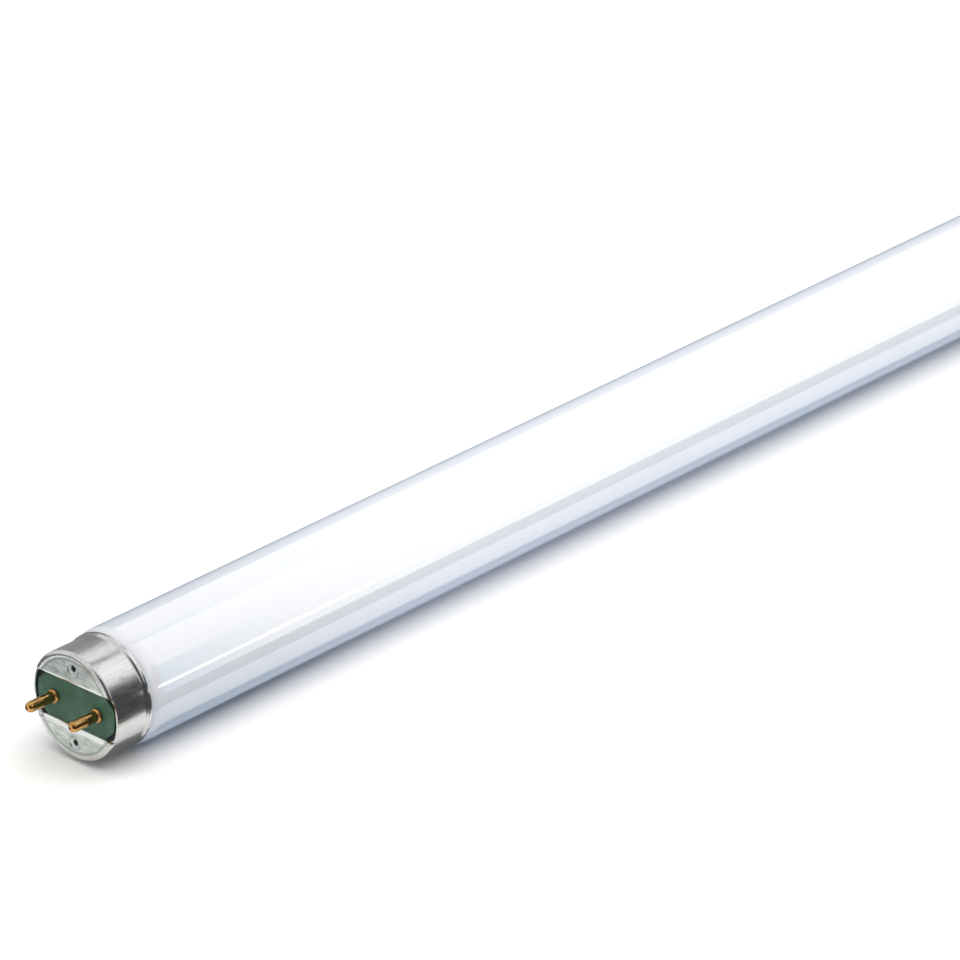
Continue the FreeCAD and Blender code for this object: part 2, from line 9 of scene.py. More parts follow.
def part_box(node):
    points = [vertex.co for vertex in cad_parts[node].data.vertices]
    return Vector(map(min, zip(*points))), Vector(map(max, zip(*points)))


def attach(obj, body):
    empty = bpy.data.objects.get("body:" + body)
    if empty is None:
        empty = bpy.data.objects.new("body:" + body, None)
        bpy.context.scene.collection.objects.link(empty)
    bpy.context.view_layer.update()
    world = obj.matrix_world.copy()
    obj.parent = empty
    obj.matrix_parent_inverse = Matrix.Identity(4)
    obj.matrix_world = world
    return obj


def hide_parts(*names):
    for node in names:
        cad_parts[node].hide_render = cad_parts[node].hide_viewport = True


bl_info = {
    "name": "Fluorescent Tube",
    "version": (1, 0, 0),
    "blender": (4, 5, 0),
    "location": "View3D > Sidebar > Tube",
    "description": "Glass, caps, contact pins and studio of a straight fluorescent tube",
    "category": "Object",
}

# The lamp lies along X with its middle at the origin. Lengths are in metres.
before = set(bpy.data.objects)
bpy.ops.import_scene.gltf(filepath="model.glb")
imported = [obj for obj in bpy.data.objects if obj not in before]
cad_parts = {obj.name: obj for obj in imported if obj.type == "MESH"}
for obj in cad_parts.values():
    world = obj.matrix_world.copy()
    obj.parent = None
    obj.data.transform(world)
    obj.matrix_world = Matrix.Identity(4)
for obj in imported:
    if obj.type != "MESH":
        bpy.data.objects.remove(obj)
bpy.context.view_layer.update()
MM = 0.001
# The two ends of the lamp, and which way along X each one lies
ENDS = {"near": -1, "far": 1}
SIDES = ("left", "right")

GLASS_LOW, GLASS_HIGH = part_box("glass_bulb")
CAP_LOW, CAP_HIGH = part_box("near_cap_shell")
PIN_LOW, PIN_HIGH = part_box("near_left_pin")
TUBE_RADIUS = GLASS_HIGH.z
FLOOR_Z = -TUBE_RADIUS
# From the middle of the lamp to its end faces, the open rims of its caps, and the tips of its glass and pins
FACE = -CAP_LOW.x
RIM = -CAP_HIGH.x
GLASS_TIP = -GLASS_LOW.x
PIN_TIP = -PIN_LOW.x
# From the axis of the lamp to a pin's own
PIN_Y = (PIN_LOW.y + PIN_HIGH.y) / 2

# Sockets of a node that mixes two colours, which it knows only by number
FIRST, SECOND, MIXED = 6, 7, 2


def srgb(text):
    """The linear colour of an sRGB hex value."""
    parts = [int(text[k:k + 2], 16) / 255 for k in (1, 3, 5)]
    linear = [c / 12.92 if c <= 0.04045 else ((c + 0.055) / 1.055) ** 2.4 for c in parts]
    return (*linear, 1.0)


def grey(value):
    """A neutral linear colour. Above 1 it's a light's."""
    return (value, value, value, 1.0)


class TubeGlass(bpy.types.PropertyGroup):
    """Sizes of the glass"""

    neck_radius: FloatProperty(
        name="Neck radius",
        description="Outside of the glass where the cap covers it",
        default=11.3 * MM, unit="LENGTH",
    )
    neck_start: FloatProperty(
        name="Neck start",
        description="End face of the cap to where the neck begins to widen",
        default=8.2 * MM, unit="LENGTH",
    )
    neck_rise: FloatProperty(
        name="Neck rise",
        description="Length over which the neck widens to the full tube",
        default=4.8 * MM, unit="LENGTH",
    )
    rim_round: FloatProperty(
        name="Rim rounding",
        description="Rounding of the glass where the stem is sealed to the tube",
        default=1.3 * MM, unit="LENGTH",
    )
    stem_bore: FloatProperty(
        name="Stem bore",
        description="Inside radius of the stem, on its air side",
        default=4.6 * MM, unit="LENGTH",
    )
    flare_run: FloatProperty(
        name="Stem flare",
        description="Length of the stem's flare",
        default=6.5 * MM, unit="LENGTH",
    )
    stem_run: FloatProperty(
        name="Stem length",
        description="Length of the stem's straight part",
        default=14.0 * MM, unit="LENGTH",
    )
    exhaust_radius: FloatProperty(
        name="Exhaust radius",
        description="Outside of the sealed exhaust tube in the stem",
        default=2.0 * MM, unit="LENGTH",
    )
    exhaust_stand: FloatProperty(
        name="Exhaust stand",
        description="How far the exhaust tube stands out past the end of the glass",
        default=1.0 * MM, unit="LENGTH",
    )
    facets: IntProperty(
        name="Facets",
        description="Steps round the tube, enough for a smooth edge and smooth reflections",
        default=256, min=32,
    )


class TubeFinish(bpy.types.PropertyGroup):
    """Colours of the coated glass"""

    coat: FloatVectorProperty(
        name="Phosphor coat",
        description="Colour of the white coat inside the glass",
        subtype="COLOR", size=3, default=srgb("#c9cbcf")[:3], min=0, max=1,
    )
    # Painted shade: the coat is painted bluer at the bottom, where it lies in shade
    underside: FloatVectorProperty(
        name="Underside",
        description="Colour of the coat at the bottom of the tube, where it lies in shade",
        subtype="COLOR", size=3, default=srgb("#b5c4db")[:3], min=0, max=1,
    )
    # Painted glow: a faint glow given to the coat, standing in for the studio light that it takes in
    painted_glow: FloatVectorProperty(
        name="Glow",
        description="Colour of the light that the coat gives back",
        subtype="COLOR", size=3, default=srgb("#f3f7ff")[:3], min=0, max=1,
    )


def add(tree, kind, inputs=None, stops=None, **settings):
    """Adds a node with its settings, its colour stops and its inputs, each a value or a socket to link."""
    node = tree.nodes.new(kind)
    for name, value in settings.items():
        setattr(node, name, value)
    if stops:
        elements = node.color_ramp.elements
        while len(elements) < len(stops):
            elements.new(0.5)
        for element, (place, colour) in zip(elements, stops):
            element.position = place
            element.color = colour
    for name, value in (inputs or {}).items():
        if isinstance(value, bpy.types.NodeSocket):
            tree.links.new(value, node.inputs[name])
        else:
            node.inputs[name].default_value = value
    return node


def new_material(name):
    """An empty material with its node tree and the place on the object, in metres."""
    material = bpy.data.materials.new(name)
    material.use_nodes = True
    tree = material.node_tree
    tree.nodes.clear()
    place = add(tree, "ShaderNodeTexCoord").outputs["Object"]
    return material, tree, place


def finish(tree, shader):
    """Sends a shader to the material's surface."""
    add(tree, "ShaderNodeOutputMaterial", {"Surface": shader.outputs[0]})


def coated_glass(look):
    """Drawn soda-lime glass over a white phosphor coat.

    A clear, sharp gloss over a soft white with a painted glow, which is dimmer near the caps, and painted
    shade that makes it bluer and dimmer underneath.
    """
    material, tree, place = new_material("drawn_glass_over_phosphor")
    xyz = add(tree, "ShaderNodeSeparateXYZ", {0: place})
    along = add(tree, "ShaderNodeMath", {0: xyz.outputs["X"]}, operation="ABSOLUTE")
    # A painted glow, which stands in for the studio light that the coat takes in, rises over this length in
    # from the rim of the cap
    rise = 90 * MM
    inward = add(
        tree, "ShaderNodeMapRange",
        {"Value": along.outputs[0], "From Min": RIM, "From Max": RIM - rise},
    )
    painted_glow_stops = [(0.0, 0.06), (0.12, 0.09), (0.4, 0.14), (0.8, 0.23), (1.0, 0.26)]
    painted_glow = add(
        tree, "ShaderNodeValToRGB", {0: inward.outputs[0]},
        stops=[(share, grey(strength)) for share, strength in painted_glow_stops],
    )
    # Painted shade: the light comes in from above, so the underside is painted bluer and its glow is dimmed
    shaded = add(
        tree, "ShaderNodeMapRange",
        {"Value": xyz.outputs["Z"], "From Min": 0.3 * TUBE_RADIUS, "From Max": -TUBE_RADIUS},
    )
    coat = add(
        tree, "ShaderNodeMix",
        {"Factor": shaded.outputs[0], FIRST: (*look.coat, 1.0), SECOND: (*look.underside, 1.0)},
        data_type="RGBA",
    )
    lost_below = 0.14
    dimmed = add(
        tree, "ShaderNodeMath", {0: shaded.outputs[0], 1: -lost_below, 2: painted_glow.outputs["Color"]},
        operation="MULTIPLY_ADD", use_clamp=True,
    )
    # The coat is wiped off where the cap covers the neck. Brown cement shows through the bare glass there,
    # under a faint painted glow that stands in for the little light that the glass carries
    wiped = add(
        tree, "ShaderNodeMapRange",
        {"Value": along.outputs[0], "From Min": RIM + 0.6 * MM, "From Max": RIM + 1.6 * MM},
    )
    painted_neck_glow = 0.035
    strength = add(
        tree, "ShaderNodeMix", {"Factor": wiped.outputs[0], "A": dimmed.outputs[0], "B": painted_neck_glow},
    )
    colour = add(
        tree, "ShaderNodeMix",
        {"Factor": wiped.outputs[0], FIRST: coat.outputs[MIXED], SECOND: srgb("#94745a")},
        data_type="RGBA",
    )
    shader = add(
        tree, "ShaderNodeBsdfPrincipled",
        {
            "Base Color": colour.outputs[MIXED],
            "Roughness": 0.5,
            "Specular IOR Level": 0.0,
            "Coat Weight": 1.0,
            "Coat Roughness": 0.02,
            "Coat IOR": 1.85,
            "Emission Color": (*look.painted_glow, 1.0),
            "Emission Strength": strength.outputs[0],
        },
    )
    finish(tree, shader)
    return material


def wall_tone(tree, place, marks):
    """The colour of a cap's wall: silver along the drawing marks, with faint tan stains."""
    silver = add(
        tree, "ShaderNodeValToRGB", {0: marks.outputs["Fac"]},
        stops=[(0.3, srgb("#c6c8c7")), (0.5, srgb("#cfd0cf")), (0.7, srgb("#d6d6d4"))],
    )
    # Stains about 2 mm across, drawn out along the wall
    stains_place = add(tree, "ShaderNodeMapping", {"Vector": place, "Scale": (0.35, 1.0, 1.0)})
    stains = add(
        tree, "ShaderNodeTexNoise",
        {"Vector": stains_place.outputs[0], "Scale": 1 / (2 * MM), "Detail": 5.0, "Roughness": 0.7},
    )
    stained = add(
        tree, "ShaderNodeMapRange",
        {"Value": stains.outputs["Fac"], "From Min": 0.54, "From Max": 0.72, "To Max": 0.55},
    )
    return add(
        tree, "ShaderNodeMix",
        {"Factor": stained.outputs[0], FIRST: silver.outputs["Color"], SECOND: srgb("#a08f80")},
        data_type="RGBA",
    )


def end_face(tree, place, xyz):
    """The stamped flat of a cap's end face: where it is, its colour and its roughness.

    It's duller and greener than the wall and scuffed along the slot. It has a painted highlight on the rolled
    lips, which are also smoother, and painted shade at the foot of its ridge.
    """
    # Each pair is where an effect begins and where it is full
    behind_face = (1.3 * MM, 0.9 * MM)
    inside_ridge = (11.1 * MM, 10.6 * MM)
    lips = (6.0 * MM, 5.6 * MM)
    ridge_foot = (10.1 * MM, 10.7 * MM)
    along = add(tree, "ShaderNodeMath", {0: xyz.outputs["X"]}, operation="ABSOLUTE")
    outward = add(tree, "ShaderNodeVectorMath", {0: place, 1: (0.0, 1.0, 1.0)}, operation="MULTIPLY")
    radius = add(tree, "ShaderNodeVectorMath", {0: outward.outputs[0]}, operation="LENGTH")
    height = add(tree, "ShaderNodeMath", {0: xyz.outputs["Z"]}, operation="ABSOLUTE")
    in_front = add(
        tree, "ShaderNodeMapRange",
        {"Value": along.outputs[0], "From Min": FACE - behind_face[0], "From Max": FACE - behind_face[1]},
    )
    in_flat = add(
        tree, "ShaderNodeMapRange",
        {"Value": radius.outputs["Value"], "From Min": inside_ridge[0], "From Max": inside_ridge[1]},
    )
    where = add(tree, "ShaderNodeMath", {0: in_front.outputs[0], 1: in_flat.outputs[0]}, operation="MULTIPLY")
    # Scuffs about 1 mm across, drawn out along the slot
    scuffs_place = add(tree, "ShaderNodeMapping", {"Vector": place, "Scale": (1.0, 0.3, 1.0)})
    scuffs = add(
        tree, "ShaderNodeTexNoise",
        {"Vector": scuffs_place.outputs[0], "Scale": 1 / (0.9 * MM), "Detail": 6.0, "Roughness": 0.7},
    )
    scuffed = add(
        tree, "ShaderNodeValToRGB", {0: scuffs.outputs["Fac"]},
        stops=[(0.33, srgb("#a7b0ab")), (0.5, srgb("#cbd2ce")), (0.66, srgb("#e3e8e5"))],
    )
    # Painted highlight: the rolled lips are painted near white, and they are smoother too
    lip_highlight = add(
        tree, "ShaderNodeMapRange",
        {"Value": height.outputs[0], "From Min": lips[0], "From Max": lips[1]},
    )
    with_lip_highlight = add(
        tree, "ShaderNodeMix",
        {"Factor": lip_highlight.outputs[0], FIRST: scuffed.outputs["Color"], SECOND: srgb("#f1f3f1")},
        data_type="RGBA",
    )
    # Painted shade: darker at the foot of the ridge
    ridge_foot_shade = add(
        tree, "ShaderNodeMapRange",
        {"Value": radius.outputs["Value"], "From Min": ridge_foot[0], "From Max": ridge_foot[1]},
    )
    colour = add(
        tree, "ShaderNodeMix",
        {"Factor": ridge_foot_shade.outputs[0], FIRST: with_lip_highlight.outputs[MIXED], SECOND: srgb("#98a09c")},
        data_type="RGBA",
    )
    scuffed_roughness, lip_roughness = 0.48, 0.3
    roughness = add(
        tree, "ShaderNodeMix",
        {"Factor": lip_highlight.outputs[0], "A": scuffed_roughness, "B": lip_roughness},
    )
    return where.outputs[0], colour.outputs[MIXED], roughness.outputs[0]


def drawn_aluminium():
    """Soft aluminium sheet, deep drawn and tumbled: satin, with fine drawing marks and a dull end face."""
    material, tree, place = new_material("deep_drawn_aluminium")
    xyz = add(tree, "ShaderNodeSeparateXYZ", {0: place})
    # Drawing marks run along the wall, about 0.25 mm apart round it, over dents about 4 mm wide
    marks_place = add(tree, "ShaderNodeMapping", {"Vector": place, "Scale": (0.12, 1.0, 1.0)})
    marks = add(
        tree, "ShaderNodeTexNoise",
        {"Vector": marks_place.outputs[0], "Scale": 1 / (0.5 * MM), "Detail": 4.0, "Roughness": 0.6},
    )
    dents = add(tree, "ShaderNodeTexNoise", {"Vector": place, "Scale": 1 / (4 * MM), "Detail": 2.0})
    wall = wall_tone(tree, place, marks)
    on_face, face_colour, face_roughness = end_face(tree, place, xyz)
    colour = add(
        tree, "ShaderNodeMix",
        {"Factor": on_face, FIRST: wall.outputs[MIXED], SECOND: face_colour}, data_type="RGBA",
    )
    satin = add(
        tree, "ShaderNodeMapRange",
        {"Value": marks.outputs["Fac"], "From Min": 0.3, "From Max": 0.7, "To Min": 0.17, "To Max": 0.27},
    )
    roughness = add(
        tree, "ShaderNodeMix", {"Factor": on_face, "A": satin.outputs[0], "B": face_roughness},
    )
    dent_share = 3.0
    relief = add(
        tree, "ShaderNodeMath", {0: dents.outputs["Fac"], 1: dent_share, 2: marks.outputs["Fac"]},
        operation="MULTIPLY_ADD",
    )
    bump = add(
        tree, "ShaderNodeBump",
        {"Strength": 0.22, "Distance": 0.02 * MM, "Height": relief.outputs[0]},
    )
    shader = add(
        tree, "ShaderNodeBsdfPrincipled",
        {
            "Base Color": colour.outputs[MIXED],
            "Metallic": 1.0,
            "Roughness": roughness.outputs[0],
            "Normal": bump.outputs[0],
        },
    )
    finish(tree, shader)
    return material


def pressed_laminate():
    """Pressed insulating laminate: matt bottle green, faintly mottled, with a dull sheen."""
    material, tree, place = new_material("pressed_insulating_laminate")
    mottle = add(tree, "ShaderNodeTexNoise", {"Vector": place, "Scale": 1 / (3 * MM), "Detail": 5.0})
    grain = add(tree, "ShaderNodeTexNoise", {"Vector": place, "Scale": 1 / (0.3 * MM), "Detail": 2.0})
    tone = add(
        tree, "ShaderNodeValToRGB", {0: mottle.outputs["Fac"]},
        stops=[(0.3, srgb("#3a5846")), (0.55, srgb("#41624f")), (0.75, srgb("#496b58"))],
    )
    bump = add(
        tree, "ShaderNodeBump",
        {"Strength": 0.3, "Distance": 0.02 * MM, "Height": grain.outputs["Fac"]},
    )
    shader = add(
        tree, "ShaderNodeBsdfPrincipled",
        {
            "Base Color": tone.outputs["Color"],
            "Roughness": 0.6,
            "Specular IOR Level": 0.25,
            "Normal": bump.outputs[0],
        },
    )
    finish(tree, shader)
    return material


def tumbled_brass():
    """Turned and tumbled brass: a warm, slightly softened mirror with faint turning marks round it."""
    material, tree, place = new_material("tumbled_brass")
    rings_place = add(tree, "ShaderNodeMapping", {"Vector": place, "Scale": (1.0, 0.1, 0.1)})
    rings = add(
        tree, "ShaderNodeTexNoise",
        {"Vector": rings_place.outputs[0], "Scale": 1 / (0.25 * MM), "Detail": 3.0},
    )
    tone = add(
        tree, "ShaderNodeValToRGB", {0: rings.outputs["Fac"]},
        stops=[(0.3, srgb("#b08148")), (0.6, srgb("#cf9f60")), (0.8, srgb("#e8c897"))],
    )
    bump = add(
        tree, "ShaderNodeBump",
        {"Strength": 0.08, "Distance": 0.01 * MM, "Height": rings.outputs["Fac"]},
    )
    shader = add(
        tree, "ShaderNodeBsdfPrincipled",
        {"Base Color": tone.outputs["Color"], "Metallic": 1.0, "Roughness": 0.17, "Normal": bump.outputs[0]},
    )
    finish(tree, shader)
    return material


def baked_cement():
    """Baked resin and marble flour cement: dull tan with fine grains."""
    material, tree, place = new_material("baked_capping_cement")
    grains = add(tree, "ShaderNodeTexNoise", {"Vector": place, "Scale": 1 / (0.4 * MM), "Detail": 4.0})
    tone = add(
        tree, "ShaderNodeValToRGB", {0: grains.outputs["Fac"]},
        stops=[(0.35, srgb("#6f5436")), (0.65, srgb("#a08058"))],
    )
    bump = add(
        tree, "ShaderNodeBump",
        {"Strength": 0.6, "Distance": 0.05 * MM, "Height": grains.outputs["Fac"]},
    )
    shader = add(
        tree, "ShaderNodeBsdfPrincipled",
        {"Base Color": tone.outputs["Color"], "Roughness": 0.8, "Normal": bump.outputs[0]},
    )
    finish(tree, shader)
    return material


def copper_clad_wire():
    """Copper-clad lead wire: drawn, reddish and slightly darkened by heat."""
    material, tree, place = new_material("drawn_copper_clad_wire")
    heat = add(tree, "ShaderNodeTexNoise", {"Vector": place, "Scale": 1 / (1.5 * MM), "Detail": 3.0})
    tone = add(
        tree, "ShaderNodeValToRGB", {0: heat.outputs["Fac"]},
        stops=[(0.35, srgb("#8e4a35")), (0.65, srgb("#c87858"))],
    )
    shader = add(
        tree, "ShaderNodeBsdfPrincipled",
        {"Base Color": tone.outputs["Color"], "Metallic": 1.0, "Roughness": 0.35},
    )
    finish(tree, shader)
    return material


def dress(nodes, material):
    """Gives CAD nodes one material in place of their own."""
    for node in nodes:
        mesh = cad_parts[node].data
        mesh.materials.clear()
        mesh.materials.append(material)


def arc(start, end, centre, steps):
    """Points on a round stretch from start to end, without start."""
    first = math.atan2(start[1] - centre[1], start[0] - centre[0])
    turn = math.atan2(end[1] - centre[1], end[0] - centre[0]) - first
    turn = (turn + math.pi) % (2 * math.pi) - math.pi
    radius = math.dist(start, centre)
    angles = [first + turn * k / steps for k in range(1, steps + 1)]
    return [(centre[0] + radius * math.cos(a), centre[1] + radius * math.sin(a)) for a in angles]


def s_curve(start, end, steps):
    """Two equal arcs, level at both ends, from start up to end, without start."""
    run, rise = end[0] - start[0], end[1] - start[1]
    radius = (run * run + rise * rise) / (4 * rise)
    middle = ((start[0] + end[0]) / 2, (start[1] + end[1]) / 2)
    lower = arc(start, middle, (start[0], start[1] + radius), steps)
    return lower + arc(middle, end, (end[0], end[1] - radius), steps)


def glass_profile(sizes):
    """The air side of one end of the glass, from the exhaust tip outwards.

    Worked out as (distance in from the cap's end face, radius), and given as (X at the +X end, radius).
    """
    steps = 10
    tip = FACE - GLASS_TIP
    glass_end = tip + sizes.exhaust_stand
    rim = (glass_end + sizes.rim_round, sizes.neck_radius - sizes.rim_round)
    flare_start = rim[0] + sizes.flare_run
    press = flare_start + sizes.stem_run
    # The flare meets the rim's rounding smoothly
    across, high = flare_start - rim[0], rim[1] - sizes.stem_bore
    flare = (across**2 + high**2 - sizes.rim_round**2) / (2 * (high - sizes.rim_round))
    centre = (flare_start, sizes.stem_bore + flare)
    share = sizes.rim_round / (flare - sizes.rim_round)
    join = (rim[0] - across * share, rim[1] - (flare - high) * share)
    dome = tip + sizes.exhaust_radius
    points = [(tip, 0.0)]
    points += arc((tip, 0.0), (dome, sizes.exhaust_radius), (dome, 0), steps)
    points += [(press, sizes.exhaust_radius), (press, sizes.stem_bore), (flare_start, sizes.stem_bore)]
    points += arc((flare_start, sizes.stem_bore), join, centre, 2 * steps)
    points += arc(join, (rim[0], sizes.neck_radius), rim, 2 * steps)
    neck = (sizes.neck_start, sizes.neck_radius)
    points += [neck] + s_curve(neck, (sizes.neck_start + sizes.neck_rise, TUBE_RADIUS), 2 * steps)
    # Rings along the tube, closer together near the cap
    points += [(x * MM, TUBE_RADIUS) for x in (16, 20, 30, 50, 80, 120, 180, 240)]
    return [(FACE - x, radius) for x, radius in points]


class TUBE_OT_glass(bpy.types.Operator):
    """Makes the glass as one turned form, necked and sealed at both ends, and coats it white inside"""

    bl_idname = "tube.glass"
    bl_label = "Glass"

    def execute(self, context):
        sizes = context.scene.tube_glass
        right = glass_profile(sizes)
        profile = right + [(-x, radius) for x, radius in reversed(right)]
        mesh = bpy.data.meshes.new("tube_glass")
        work = bmesh.new()
        rings = []
        for x, radius in profile:
            if radius == 0:
                rings.append([work.verts.new((x, 0, 0))])
                continue
            angles = (2 * math.pi * k / sizes.facets for k in range(sizes.facets))
            rings.append([work.verts.new((x, radius * math.cos(a), radius * math.sin(a))) for a in angles])
        for one, other in zip(rings, rings[1:]):
            for k in range(sizes.facets):
                around = ((one, k), (one, k + 1), (other, k + 1), (other, k))
                corners = [ring[i % len(ring)] for ring, i in around]
                # A tip is a ring of one corner, so its faces are triangles
                work.faces.new(list(dict.fromkeys(corners)))
        bmesh.ops.recalc_face_normals(work, faces=work.faces)
        work.to_mesh(mesh)
        work.free()
        mesh.polygons.foreach_set("use_smooth", [True] * len(mesh.polygons))
        mesh.set_sharp_from_angle(angle=math.radians(40))
        mesh.materials.append(coated_glass(context.scene.tube_finish))
        glass = bpy.data.objects.new("tube_glass", mesh)
        context.scene.collection.objects.link(glass)
        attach(glass, "root")
        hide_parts("glass_bulb")
        return {"FINISHED"}


class TUBE_OT_caps(bpy.types.Operator):
    """Finishes both caps: drawn aluminium shell, green plate and cement"""

    bl_idname = "tube.caps"
    bl_label = "Caps"

    def execute(self, context):
        dress([f"{end}_cap_shell" for end in ENDS], drawn_aluminium())
        dress([f"{end}_insulating_plate" for end in ENDS], pressed_laminate())
        dress([f"{end}_cement_ring" for end in ENDS], baked_cement())
        return {"FINISHED"}


class TUBE_OT_contacts(bpy.types.Operator):
    """Finishes the four contact pins and the lead wires inside them"""

    bl_idname = "tube.contacts"
    bl_label = "Contacts"

    def execute(self, context):
        dress([f"{end}_{side}_pin" for end in ENDS for side in SIDES], tumbled_brass())
        dress([f"{end}_{side}_lead_wire" for end in ENDS for side in SIDES], copper_clad_wire())
        return {"FINISHED"}


def view_axes(azimuth, elevation):
    """The camera's right, up and backward directions."""
    a, e = math.radians(azimuth), math.radians(elevation)
    right = Vector((math.cos(a), math.sin(a), 0))
    back = Vector((math.sin(a) * math.cos(e), -math.cos(a) * math.cos(e), math.sin(e)))
    return right, back.cross(right), back


def add_camera(scene):
    """The photograph's long lens, low over the near end."""
    azimuth, elevation, lens = -47.54, 26.11, 243.66
    # Where the middle of the near end face is in the picture, and how far away
    across, upward, distance = -83.72 * MM, -46.62 * MM, 1335.3 * MM
    right, up, back = view_axes(azimuth, elevation)
    camera = bpy.data.objects.new("camera", bpy.data.cameras.new("camera"))
    camera.data.lens = lens
    camera.data.sensor_width = 36
    camera.data.clip_end = 30
    turn = Matrix((right, up, back)).transposed().to_4x4()
    place = Vector((-FACE, 0, 0)) - right * across - up * upward + back * distance
    camera.matrix_world = Matrix.Translation(place) @ turn
    scene.collection.objects.link(camera)
    scene.camera = camera


def add_floor(scene):
    """A wide board, sprayed matt white: plain and pale, with soft shadows and no reflections."""
    half = 20
    mesh = bpy.data.meshes.new("floor")
    corners = [(x * half, y * half, FLOOR_Z) for x, y in ((-1, -1), (1, -1), (1, 1), (-1, 1))]
    mesh.from_pydata(corners, [], [(0, 1, 2, 3)])
    material, tree, _ = new_material("matt_white_board")
    shader = add(
        tree, "ShaderNodeBsdfPrincipled",
        {"Base Color": srgb("#f5f4f3"), "Roughness": 0.6, "Specular IOR Level": 0.0},
    )
    finish(tree, shader)
    mesh.materials.append(material)
    floor = bpy.data.objects.new("floor", mesh)
    scene.collection.objects.link(floor)


# What the studio shows to a shiny tube: its brightness by the angle from straight up, positive to the front
SKY = [
    (-90, 0.32), (-66, 0.42), (-54, 0.42), (-42, 0.7), (-31, 1.1),
    (-18, 1.25), (-11, 1.1), (-8, 0.16), (-4, 0.16), (0, 1.25),
    (30, 1.35), (44, 1.2), (55, 0.35), (62, 0.07), (90, 0.07),
]


def add_world(scene):
    """Long soft boxes over the tube with dark gaps between them, and a plain pale backdrop for the camera."""
    world = bpy.data.worlds.new("studio")
    world.use_nodes = True
    tree = world.node_tree
    tree.nodes.clear()
    direction = add(tree, "ShaderNodeTexCoord").outputs["Generated"]
    xyz = add(tree, "ShaderNodeSeparateXYZ", {0: direction})
    front = add(tree, "ShaderNodeMath", {0: xyz.outputs["Y"], 1: -1.0}, operation="MULTIPLY")
    angle = add(tree, "ShaderNodeMath", {0: front.outputs[0], 1: xyz.outputs["Z"]}, operation="ARCTAN2")
    quarter = math.pi / 2
    share = add(
        tree, "ShaderNodeMapRange",
        {"Value": angle.outputs[0], "From Min": -quarter, "From Max": quarter},
    )
    sky = add(
        tree, "ShaderNodeValToRGB", {0: share.outputs[0]},
        stops=[((degrees + 90) / 180, grey(value)) for degrees, value in SKY],
    )
    # Towards the near end it's an even white, which ends where the room is open and dark
    side = add(
        tree, "ShaderNodeMapRange",
        {"Value": xyz.outputs["X"], "From Min": 0.1, "From Max": 0.45}, interpolation_type="SMOOTHSTEP",
    )
    room_way = (-0.66, -0.6, 0.45)
    white_wall, open_room = 0.95, 0.12
    opening = add(tree, "ShaderNodeVectorMath", {0: direction, 1: room_way}, operation="DOT_PRODUCT")
    room = add(
        tree, "ShaderNodeMapRange",
        {
            "Value": opening.outputs["Value"],
            "From Min": 0.74,
            "From Max": 0.93,
            "To Min": white_wall,
            "To Max": open_room,
        },
        interpolation_type="SMOOTHSTEP",
    )
    whole = add(
        tree, "ShaderNodeMix",
        {"Factor": side.outputs[0], FIRST: room.outputs[0], SECOND: sky.outputs["Color"]},
        data_type="RGBA",
    )
    lit = add(tree, "ShaderNodeBackground", {"Color": whole.outputs[MIXED], "Strength": 1.0})
    plain = add(tree, "ShaderNodeBackground", {"Color": grey(1.0), "Strength": 1.0})
    path = add(tree, "ShaderNodeLightPath")
    both = add(
        tree, "ShaderNodeMixShader",
        {0: path.outputs["Is Camera Ray"], 1: lit.outputs[0], 2: plain.outputs[0]},
    )
    add(tree, "ShaderNodeOutputWorld", {"Surface": both.outputs[0]})
    scene.world = world


def add_top_light(scene):
    """One big soft box overhead, a little in front of the tube."""
    light = bpy.data.lights.new("soft_box", "AREA")
    light.shape = "RECTANGLE"
    light.size, light.size_y = 2.4, 1.6
    light.energy = 18
    light.color = (1.0, 0.99, 0.97)
    box = bpy.data.objects.new("soft_box", light)
    place = Vector((0.0, -0.25, 1.3))
    box.matrix_world = Matrix.Translation(place) @ place.to_track_quat("Z", "Y").to_matrix().to_4x4()
    box.visible_camera = False
    box.visible_glossy = False
    scene.collection.objects.link(box)


def add_card(scene, name, section, ends, colour, edge=None, turn=(0, 0)):
    """A card along X that only reflections see, lit in a plain colour on its front side.

    It has a section in (Y, Z) and ends in X. An edge colour turns to its own between two distances from its
    ends.
    """
    mesh = bpy.data.meshes.new(name)
    corners = [(x, y, z) for x in ends for y, z in section]
    count = len(section)
    faces = [(k, k + 1, k + 1 + count, k + count) for k in range(count - 1)]
    mesh.from_pydata(corners, [], faces)
    material, tree, place = new_material(f"{name}_card")
    if edge:
        along = add(tree, "ShaderNodeSeparateXYZ", {0: place}).outputs["X"]
        distance = add(tree, "ShaderNodeMath", {0: along}, operation="ABSOLUTE")
        inward = add(
            tree, "ShaderNodeMapRange",
            {"Value": distance.outputs[0], "From Min": ends[1] - turn[0], "From Max": ends[1] - turn[1]},
        )
        blend = add(
            tree, "ShaderNodeMix", {"Factor": inward.outputs[0], FIRST: edge, SECOND: colour},
            data_type="RGBA",
        )
        colour = blend.outputs[MIXED]
    paint = add(tree, "ShaderNodeEmission", {"Color": colour, "Strength": 1.0})
    through = add(tree, "ShaderNodeBsdfTransparent")
    back = add(tree, "ShaderNodeNewGeometry").outputs["Backfacing"]
    one_sided = add(tree, "ShaderNodeMixShader", {0: back, 1: paint.outputs[0], 2: through.outputs[0]})
    finish(tree, one_sided)
    mesh.materials.append(material)
    card = bpy.data.objects.new(name, mesh)
    card.visible_camera = False
    card.visible_diffuse = False
    card.visible_shadow = False
    card.visible_transmission = False
    scene.collection.objects.link(card)


